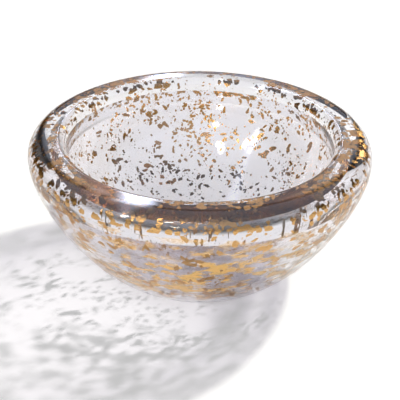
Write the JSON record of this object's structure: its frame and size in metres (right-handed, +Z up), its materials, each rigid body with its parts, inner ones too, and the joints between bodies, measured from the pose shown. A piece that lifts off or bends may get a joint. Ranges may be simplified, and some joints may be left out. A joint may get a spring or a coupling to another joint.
{
  "type": "floating candle bowl",
  "caption": "Round double-walled clear glass bowl with a thick rolled rim and gold leaf flecks in the glass, for water and floating candles.",
  "frame": {"origin": "middle of the flat face that the bowl stands on", "axes": "+Z up through the mouth, the bowl's axis of symmetry"},
  "size_m": [0.25, 0.25, 0.109],
  "materials": {
    "clear_glass": "fire-polished",
    "gold_leaf": "crinkled metal leaf under clear glass"
  },
  "bodies": {
    "root": {"foot_disc": "clear_glass", "outer_wall": "clear_glass", "outer_casing": "clear_glass", "rim_roll": "clear_glass", "rim_casing": "clear_glass", "inner_bowl": "clear_glass", "inner_casing": "clear_glass", "leaf_outer_wall": "gold_leaf", "leaf_rim_roll": "gold_leaf", "leaf_rim_crown": "gold_leaf", "leaf_rim_lip": "gold_leaf", "leaf_bowl_wall": "gold_leaf", "leaf_bowl_floor": "gold_leaf"}
  },
  "joints": []
}
